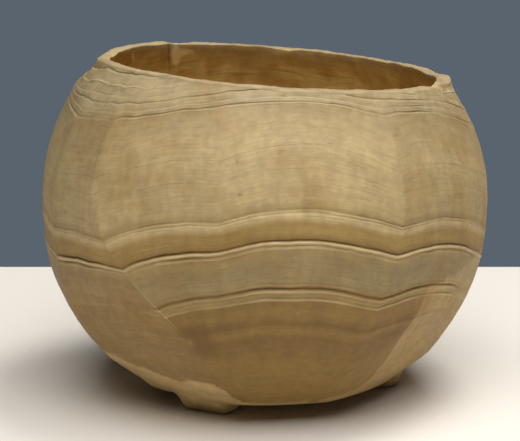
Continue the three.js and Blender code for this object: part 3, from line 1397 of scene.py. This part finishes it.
    def build(self) -> bpy.types.Object:
        """Model the whole vessel as one closed mesh.

        Returns:
            The finished object at the origin.
        """
        columns = self.columns()
        outer = self.outer_rows(columns)
        hollow = self.hollow_rows_down(columns)
        rim = self.rim_rows(outer[:, -1], hollow[:, 0])
        body = self.grid("stone_vessel", np.concatenate([outer, rim, hollow], axis=1))
        self.close_poles(body)
        self.wear.apply(body)
        for index in range(len(self.feet.sizes)):
            self.fuse(body, self.feet.model(index))
        self.feet.soften_roots(body)
        self.marks.store(body)
        self.settle(body)
        bpy.ops.object.select_all(action="DESELECT")
        body.select_set(True)
        bpy.context.view_layer.objects.active = body
        bpy.ops.object.shade_smooth_by_angle(angle=math.radians(self.smooth_below))
        body.data.calc_loop_triangles()
        LOG.info("%s: %d triangles", body.name, len(body.data.loop_triangles))
        return body


def add_node(
    material: bpy.types.Material | bpy.types.World,
    kind: str,
    settings: dict[str, object] | None = None,
    links: dict[str | int, object] | None = None,
) -> bpy.types.Node:
    """Add a node with its settings and links.

    Args:
        material: The material whose tree takes the node.
        kind: The node's type name.
        settings: Properties by name, and input values by "in:" and the
            socket's name or number.
        links: Sockets that feed the inputs, by the input's name or number.

    Returns:
        The new node.
    """
    node = material.node_tree.nodes.new(kind)
    for name, value in (settings or {}).items():
        if name.startswith("in:"):
            key = name[3:]
            node.inputs[int(key) if key.isdigit() else key].default_value = value
        else:
            setattr(node, name, value)
    for name, socket in (links or {}).items():
        material.node_tree.links.new(socket, node.inputs[name])
    return node


@dataclass(frozen=True)
class Hairline:
    """A fine dark line along a bed, by its half width in bed radii."""

    radius: float
    width: float
    dark: float


@dataclass(frozen=True)
class Patch:
    """A stain or repair: the stone inside an ellipsoid, in millimetres."""

    centre: Triple
    half: Triple
    tone: Tone
    strength: float
    soft: float = 0.25
    rough: float = 0.8


@dataclass(frozen=True)
class Streaks:
    """Streaks along the beds: spacing in bed radii, length in millimetres.

    The noise inside the given range turns into the wanted shares.
    """

    spacing: float
    length: float
    wanted: Pair
    given: Pair = (0.3, 0.7)


@dataclass(frozen=True)
class Spots:
    """Spots of a size in millimetres, whose noise turns into the wanted shares."""

    size: float
    detail: float
    given: Pair = (0.0, 1.0)
    wanted: Pair = (0.0, 1.0)


@dataclass(frozen=True)
class Grain:
    """One layer of bump, its height in millimetres."""

    strength: float
    height: float
    sunk: bool = False


@dataclass(frozen=True)
class Bench:
    """A material with the mesh's own values, and calls for what repeats in it."""

    material: bpy.types.Material
    place: Socket
    marks: dict[str, Socket]

    def out(self, kind: str, settings: dict | None = None, links: dict | None = None) -> Socket:
        """Add a node, without the first words of its type's name, for its output."""
        return add_node(self.material, f"ShaderNode{kind}", settings, links).outputs[0]

    def times(self, first: Socket, second: Socket) -> Socket:
        """Multiply two values."""
        return self.out("Math", {"operation": "MULTIPLY"}, {0: first, 1: second})

    def shifted(self, value: Socket, noise: Socket, amount: float) -> Socket:
        """Add an amount of noise to a value."""
        return self.out("Math", {"operation": "MULTIPLY_ADD", "in:1": amount}, {0: noise, 2: value})

    def scaled(self, tone: Socket, share: Socket) -> Socket:
        """Brighten or darken a colour by a share."""
        return self.out("VectorMath", {"operation": "SCALE"}, {0: tone, "Scale": share})

    def noise(self, spots: Spots) -> Socket:
        """Make noise of the spots' size, about 0.5 on average."""
        settings = {"in:Scale": 1 / (spots.size * MM), "in:Detail": spots.detail}
        return self.out("TexNoise", settings, {"Vector": self.place})

    def spotted(self, spots: Spots) -> Socket:
        """Give the share of some spots."""
        return self.ranged(self.noise(spots), spots.given, spots.wanted)

    def along_beds(self, spacing: float, length: float) -> Socket:
        """Make noise that runs long along the beds.

        Args:
            spacing: The usual distance between streaks, in bed radii.
            length: The usual length of a streak in millimetres.

        Returns:
            The noise, about 0.5 on average.
        """
        scale = {"operation": "SCALE", "in:Scale": 1 / (length * MM)}
        drawn = self.out("VectorMath", scale, {0: self.place})
        split = add_node(self.material, "ShaderNodeSeparateXYZ", links={0: drawn}).outputs
        across = self.out("Math", {"operation": "DIVIDE", "in:1": spacing}, {0: self.marks["bed"]})
        joined = self.out("CombineXYZ", links={0: split[0], 1: split[1], 2: across})
        settings = {"in:Scale": 1.0, "in:Detail": 2.0, "in:Roughness": 0.55}
        return self.out("TexNoise", settings, {"Vector": joined})

    def streaked(self, streaks: Streaks) -> Socket:
        """Give the share of some streaks."""
        noise = self.along_beds(streaks.spacing, streaks.length)
        return self.ranged(noise, streaks.given, streaks.wanted)

    def ranged(self, value: Socket, given: Pair, wanted: Pair) -> Socket:
        """Map one range of values to another, held at the ends.

        Args:
            value: The value to map.
            given: The range it comes in.
            wanted: The range it is turned into.

        Returns:
            The mapped value.
        """
        ends = {"in:1": given[0], "in:2": given[1], "in:3": wanted[0], "in:4": wanted[1]}
        return self.out("MapRange", ends, {0: value})

    def mixed(self, tone: Socket, share: Socket, other: Tone, strength: float = 1.0) -> Socket:
        """Mix a named colour into a tone.

        Args:
            tone: The colour to start from.
            share: How much of the other colour shows, from 0 to 1.
            other: The named colour.
            strength: The most of it that may show.

        Returns:
            The mixed colour.
        """
        held = self.ranged(share, (0.0, 1.0), (0.0, strength))
        settings = {"data_type": "RGBA", "in:7": linear(other)}
        return add_node(self.material, "ShaderNodeMix", settings, {0: held, 6: tone}).outputs[2]


@dataclass(frozen=True)
class BandedStone:
    """Banded onyx marble, carved, handled and weathered.

    A dense calcite stone laid down in thin beds, so that the eye sees fine
    buff, cream and amber streaks that follow the beds and a dull worn surface.
    Its colour also holds painted light: painted shade in the opened beds and on
    the side facets, a painted highlight on the beds' lips, and the painted
    bounce light of the floor on the lower wall and the feet.
    """

    name: str = "banded_onyx_marble"
    roughness: float = 0.68
    ior: float = 1.49
    bed_low: float = 60.0
    bed_high: float = 160.0
    tone_wander: float = 1.4
    tone_noise: Spots = Spots(14, 6.0)
    bare_strength: float = 0.7
    # The most that the painted bounce light of the floor may show.
    bounce_light_strength: float = 0.75
    inner_strength: float = 0.8
    golden: Spots = Spots(12, 3.0, (0.46, 0.62), (0.0, 0.6))
    veins: Streaks = Streaks(0.8, 22, (0.0, 0.45), (0.52, 0.68))
    dashes: Streaks = Streaks(0.5, 8, (0.0, 0.22), (0.6, 0.72))
    clouds: Spots = Spots(26, 4.0, (0.5, 0.7), (0.0, 0.42))
    stroke_width: float = 5.0
    stroke_length: float = 26.0
    stroke_given: Pair = (0.35, 0.65)
    stroke_wanted: Pair = (0.94, 1.06)
    pits: Spots = Spots(5, 2.0, (0.72, 0.8), (0.0, 0.4))
    speckle: Spots = Spots(3, 4.0, (0.3, 0.7), (0.93, 1.07))
    patch_noise: Spots = Spots(7, 3.0)
    # How the relief becomes painted shade in the grooves and a painted highlight on the lips.
    groove_relief: Pair = (-0.06, -0.6)
    groove_painted_shade: Pair = (0.0, 0.65)
    lip_relief: Pair = (0.12, 0.6)
    lip_painted_highlight: Pair = (0.0, 0.6)
    line_wander: float = 0.5
    line_noise: Spots = Spots(14, 3.0)
    line_breaks: Spots = Spots(8, 2.0, (0.36, 0.58), (0.2, 1.0))
    line_strength: float = 0.75
    grain_noise: Spots = Spots(1.2, 3.0)
    grain_spacing: float = 0.35
    grain_length: float = 25.0
    grains: tuple[Grain, ...] = (Grain(0.3, 0.12), Grain(0.4, 0.2), Grain(0.7, 0.3, True))
    hairlines: tuple[Hairline, ...] = (
        Hairline(97.1, 0.12, 0.25), Hairline(101.8, 0.1, 0.2), Hairline(110.2, 0.1, 0.25),
        Hairline(112.4, 0.1, 0.2), Hairline(115.2, 0.12, 0.3), Hairline(118.2, 0.12, 0.3),
        Hairline(121.7, 0.1, 0.35), Hairline(123.2, 0.1, 0.45), Hairline(126.0, 0.07, 0.2),
        Hairline(127.6, 0.07, 0.25), Hairline(129.8, 0.08, 0.35), Hairline(130.9, 0.06, 0.2),
        Hairline(133.4, 0.09, 0.5), Hairline(135.2, 0.06, 0.2), Hairline(137.4, 0.06, 0.15),
        Hairline(141.8, 0.06, 0.3), Hairline(142.7, 0.06, 0.35), Hairline(144.4, 0.07, 0.4),
        Hairline(148.3, 0.08, 0.3), Hairline(150.6, 0.1, 0.6),
    )
    streak_kinds: tuple[Streaks, ...] = (
        Streaks(5.0, 60, (0.94, 1.05)),
        Streaks(1.3, 24, (0.94, 1.05)),
        Streaks(0.4, 11, (0.92, 1.06)),
    )
    patches: tuple[Patch, ...] = (
        Patch((-33, -96, 54), (10, 16, 6.5), Tone.UMBER, 0.6, 0.6, 1.4),
        Patch((-27, -96, 47), (7, 16, 8), Tone.UMBER, 0.6, 0.6, 1.2),
        Patch((-48.6, 66, 152), (0.7, 14, 18), Tone.DEEP, 0.7, 0.5, 0.5),
        Patch((-45.0, 66, 154), (3.4, 14, 12), Tone.FILLER, 1.0, 0.4, 0.8),
        Patch((-41.0, 68, 157.5), (8.0, 14, 3.6), Tone.FILLER, 1.0, 0.5, 0.9),
        Patch((-69, 40, 156), (9, 16, 7), Tone.OCHRE, 0.45, 0.3, 1.0),
        Patch((-66, 47, 158), (0.8, 8, 6), Tone.FILLER, 0.6, 0.5, 0.3),
        Patch((-10.8, -106, 121), (1.3, 6, 0.8), Tone.DEEP, 0.5, 0.5, 1.4),
        Patch((-12.2, -101.5, 135), (1.1, 6, 1.1), Tone.DEEP, 0.4, 0.5, 1.4),
        Patch((89, -20, 156.0), (6, 12, 1.0), Tone.DEEP, 0.8, 0.5, 0.5),
        Patch((95, -8, 149.5), (6, 10, 5.5), Tone.LIP, 0.6, 0.4, 0.9),
    )
    tones: tuple[tuple[float, Tone], ...] = (
        (60.0, Tone.FOOT), (80.0, Tone.FOOT), (88.0, Tone.BROWN), (95.5, Tone.DEEP),
        (97.5, Tone.BROWN), (99.2, Tone.DEEP), (101.5, Tone.BROWN), (104.4, Tone.BROWN),
        (105.2, Tone.BUFF), (107.0, Tone.BROWN), (108.6, Tone.OLIVE), (113.0, Tone.OLIVE),
        (114.9, Tone.BUFF), (116.4, Tone.CREAM), (117.0, Tone.BROWN), (118.2, Tone.AMBER),
        (120.3, Tone.AMBER), (121.8, Tone.CREAM), (123.4, Tone.BUFF), (124.6, Tone.BELLY),
        (134.0, Tone.BELLY), (140.6, Tone.SHOULDER), (142.0, Tone.MOUTH), (152.0, Tone.MOUTH),
    )

    def build(self) -> bpy.types.Material:
        """Make the material.

        Returns:
            The material, which reads the mesh's own bed and relief.
        """
        material = bpy.data.materials.new(self.name)
        material.use_nodes = True
        material.node_tree.nodes.clear()
        marks = {
            name: add_node(material, "ShaderNodeAttribute", {"attribute_name": name}).outputs["Fac"]
            for name in ("bed", "relief", "inner", "cut", "bare", "painted_facet_shade")
        }
        place = add_node(material, "ShaderNodeTexCoord").outputs["Object"]
        bench = Bench(material, place, marks)
        tone = self.bed_tone(bench)
        tone = bench.mixed(tone, marks["bare"], Tone.BARE, self.bare_strength)
        # Painted bounce light of the floor on the lower wall, the flats and the feet.
        tone = bench.mixed(tone, marks["cut"], Tone.CUT, self.bounce_light_strength)
        tone = bench.mixed(tone, marks["inner"], Tone.INSIDE, self.inner_strength)
        tone = bench.mixed(tone, bench.times(bench.spotted(self.golden), marks["inner"]), Tone.OCHRE)
        tone = bench.mixed(tone, bench.times(bench.streaked(self.veins), marks["inner"]), Tone.DEEP)
        # Painted shade on the side facets and painted light on the front one.
        tone = bench.scaled(tone, marks["painted_facet_shade"])
        for streaks in self.streak_kinds:
            tone = bench.scaled(tone, bench.streaked(streaks))
        tone = bench.mixed(tone, bench.streaked(self.dashes), Tone.DEEP)
        tone = self.mottled(bench, tone)
        tone = self.patched(bench, tone)
        # Painted shade in the grooves of the opened beds.
        groove = bench.ranged(marks["relief"], self.groove_relief, self.groove_painted_shade)
        tone = bench.mixed(tone, groove, Tone.GROOVE)
        # Painted highlight on the lips under the grooves.
        lip = bench.ranged(marks["relief"], self.lip_relief, self.lip_painted_highlight)
        tone = bench.mixed(tone, lip, Tone.LIP)
        lines = self.hairline_share(bench)
        tone = bench.mixed(tone, lines, Tone.GROOVE, self.line_strength)
        settings = {"in:Roughness": self.roughness, "in:IOR": self.ior}
        links = {"Base Color": tone, "Normal": self.grained(bench, lines)}
        shader = bench.out("BsdfPrincipled", settings, links)
        add_node(material, "ShaderNodeOutputMaterial", links={"Surface": shader})
        LOG.info("%s: %d nodes", self.name, len(material.node_tree.nodes))
        return material

    def bed_tone(self, bench: Bench) -> Socket:
        """Colour the stone by its bed, with the beds' edges wandering a little.

        Args:
            bench: The material and the mesh's values.

        Returns:
            The colour.
        """
        wandered = bench.shifted(bench.marks["bed"], bench.noise(self.tone_noise), self.tone_wander)
        ends = (self.bed_low + self.tone_wander / 2, self.bed_high + self.tone_wander / 2)
        share = bench.ranged(wandered, ends, (0.0, 1.0))
        ramp = add_node(bench.material, "ShaderNodeValToRGB", links={0: share})
        stops = ramp.color_ramp.elements
        stops.remove(stops[-1])
        stops[0].position = 0
        stops[0].color = linear(self.tones[0][1])
        for radius, tone in self.tones[1:]:
            stop = stops.new((radius - self.bed_low) / (self.bed_high - self.bed_low))
            stop.color = linear(tone)
        return ramp.outputs[0]

    def mottled(self, bench: Bench, tone: Socket) -> Socket:
        """Cloud the stone, with upright strokes, small dark pits and speckle.

        Args:
            bench: The material and the mesh's values.
            tone: The colour to start from.

        Returns:
            The mottled colour.
        """
        tone = bench.mixed(tone, bench.spotted(self.clouds), Tone.HONEY)
        width = 1 / (self.stroke_width * MM)
        stretch = {"operation": "MULTIPLY", "in:1": (width, width, 1 / (self.stroke_length * MM))}
        upright = bench.out("VectorMath", stretch, {0: bench.place})
        strokes = bench.out("TexNoise", {"in:Scale": 1.0, "in:Detail": 1.0}, {"Vector": upright})
        tone = bench.scaled(tone, bench.ranged(strokes, self.stroke_given, self.stroke_wanted))
        tone = bench.mixed(tone, bench.spotted(self.pits), Tone.DEEP)
        return bench.scaled(tone, bench.spotted(self.speckle))

    def patched(self, bench: Bench, tone: Socket) -> Socket:
        """Lay on the stains, the filler and the crack, each with a ragged edge.

        Args:
            bench: The material and the mesh's values.
            tone: The colour to start from.

        Returns:
            The patched colour.
        """
        noise = bench.noise(self.patch_noise)
        for patch in self.patches:
            centre = {"operation": "SUBTRACT", "in:1": tuple(c * MM for c in patch.centre)}
            offset = bench.out("VectorMath", centre, {0: bench.place})
            half = {"operation": "DIVIDE", "in:1": tuple(c * MM for c in patch.half)}
            spread = bench.out("VectorMath", half, {0: offset})
            measure = add_node(
                bench.material, "ShaderNodeVectorMath", {"operation": "LENGTH"}, {0: spread}
            )
            ragged = bench.shifted(measure.outputs["Value"], noise, patch.rough)
            edge = 1 + patch.rough / 2
            share = bench.ranged(ragged, (edge - patch.soft, edge), (patch.strength, 0.0))
            tone = bench.mixed(tone, share, patch.tone)
        return tone

    def hairline_share(self, bench: Bench) -> Socket:
        """Draw the beds' hairlines, broken and uneven along their length.

        Args:
            bench: The material and the mesh's values.

        Returns:
            How dark the nearest line is, 0 between the lines.
        """
        wandered = bench.shifted(bench.marks["bed"], bench.noise(self.line_noise), self.line_wander)
        total = None
        for line in self.hairlines:
            middle = {"operation": "SUBTRACT", "in:1": line.radius + self.line_wander / 2}
            aside = bench.out("Math", middle, {0: wandered})
            away = bench.out("Math", {"operation": "ABSOLUTE"}, {0: aside})
            share = bench.ranged(away, (0.0, line.width), (line.dark, 0.0))
            if total is not None:
                share = bench.out("Math", {"operation": "MAXIMUM"}, {0: total, 1: share})
            total = share
        return bench.times(total, bench.spotted(self.line_breaks))

    def grained(self, bench: Bench, lines: Socket) -> Socket:
        """Raise the grain of the stone and sink its hairlines.

        Args:
            bench: The material and the mesh's values.
            lines: How dark the hairlines are.

        Returns:
            The bumped normal.
        """
        fine = bench.noise(self.grain_noise)
        along = bench.along_beds(self.grain_spacing, self.grain_length)
        links: dict[str, Socket] = {}
        for grain, height in zip(self.grains, (fine, along, lines)):
            settings = {"in:Strength": grain.strength, "in:Distance": grain.height * MM}
            bump = bench.out("Bump", {**settings, "invert": grain.sunk}, {**links, "Height": height})
            links = {"Normal": bump}
        return links["Normal"]


@dataclass(frozen=True)
class Lamp:
    """A square soft light: its width and place in metres, its power in watts."""

    name: str
    side: float
    power: float
    place: Triple


@dataclass
class Studio:
    """The plain pale floor, the soft light and the camera."""

    floor_side: float = 1600.0
    floor_back: float = 258.0
    floor_gap: float = 0.3
    floor_rough: float = 0.9
    lamps: tuple[Lamp, ...] = (
        Lamp("front", 1.5, 31.0, (0.05, -0.7, 1.5)),
        Lamp("overhead", 0.5, 8.0, (0.36, 0.1, 1.3)),
    )
    lamp_aim: Triple = (0.0, 0.0, 0.08)
    horizon: float = -0.06
    sky: float = 0.2
    camera_elevation: float = 12.51
    camera_distance: float = 1300.0
    lens: float = 181.87
    sensor: float = 36.0
    aim: Triple = (-1.75, 1.0, 85.15)

    def floor(self) -> None:
        """Lay the floor, a flat sheet with a back edge, just under the soles."""
        side = 2 * self.floor_side * MM
        bpy.ops.object.select_all(action="DESELECT")
        bpy.ops.mesh.primitive_plane_add(size=1)
        sheet = bpy.context.object
        sheet.name = "floor"
        sheet.scale = (side, side, 1)
        sheet.location = (0, (self.floor_back - self.floor_side) * MM, -self.floor_gap * MM)
        bpy.ops.object.transform_apply(location=True, rotation=True, scale=True)
        cloth = bpy.data.materials.new("pale_floor")
        cloth.use_nodes = True
        shader = cloth.node_tree.nodes["Principled BSDF"]
        shader.inputs["Base Color"].default_value = linear(Tone.CLOTH)
        shader.inputs["Roughness"].default_value = self.floor_rough
        sheet.data.materials.append(cloth)
        LOG.info("floor laid")

    def hang(self, lamp: Lamp) -> None:
        """Hang a soft light that looks at the vessel.

        Args:
            lamp: The light.
        """
        bpy.ops.object.select_all(action="DESELECT")
        bpy.ops.object.light_add(type="AREA", location=lamp.place)
        light = bpy.context.object
        light.name = lamp.name
        light.data.energy = lamp.power
        light.data.size = lamp.side
        aim = Vector(self.lamp_aim) - Vector(lamp.place)
        light.rotation_euler = aim.to_track_quat("-Z", "Y").to_euler()
        LOG.info("%s lamp hung", lamp.name)

    def backdrop(self) -> None:
        """Set the grey backdrop under a dimmer sky."""
        world = bpy.data.worlds.new("backdrop")
        world.use_nodes = True
        background = world.node_tree.nodes["Background"]
        background.inputs["Color"].default_value = linear(Tone.BACKDROP)
        view = add_node(world, "ShaderNodeTexCoord")
        split = add_node(world, "ShaderNodeSeparateXYZ", links={0: view.outputs["Generated"]})
        ends = {"in:1": self.horizon, "in:2": 0.0, "in:3": 1.0, "in:4": self.sky}
        held = add_node(world, "ShaderNodeMapRange", ends, {0: split.outputs[2]})
        world.node_tree.links.new(held.outputs[0], background.inputs["Strength"])
        bpy.context.scene.world = world

    def camera(self) -> None:
        """Set up the camera at the photograph's viewing angle."""
        rise = math.radians(self.camera_elevation)
        back = Vector((0, -math.cos(rise), math.sin(rise)))
        place = Vector(self.aim) * MM + back * (self.camera_distance * MM)
        bpy.ops.object.camera_add(location=place)
        camera = bpy.context.object
        camera.rotation_euler = (-back).to_track_quat("-Z", "Y").to_euler()
        camera.data.lens = self.lens
        camera.data.sensor_width = self.sensor
        bpy.context.scene.camera = camera

    def build(self) -> None:
        """Set up the floor, the lights and the camera, with true colours."""
        bpy.context.scene.view_settings.view_transform = "Standard"
        self.floor()
        for lamp in self.lamps:
            self.hang(lamp)
        self.backdrop()
        self.camera()


def main() -> None:
    """Build the vessel, dress it and set it up for the camera."""
    logging.basicConfig(level=logging.INFO, format="%(message)s")
    vessel = CarvedVessel().build()
    vessel.data.materials.clear()
    vessel.data.materials.append(BandedStone().build())
    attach(vessel, "root")
    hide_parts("vessel")
    LOG.info("dressed %s", vessel.name)
    Studio().build()


if __name__ == "__main__":
    main()
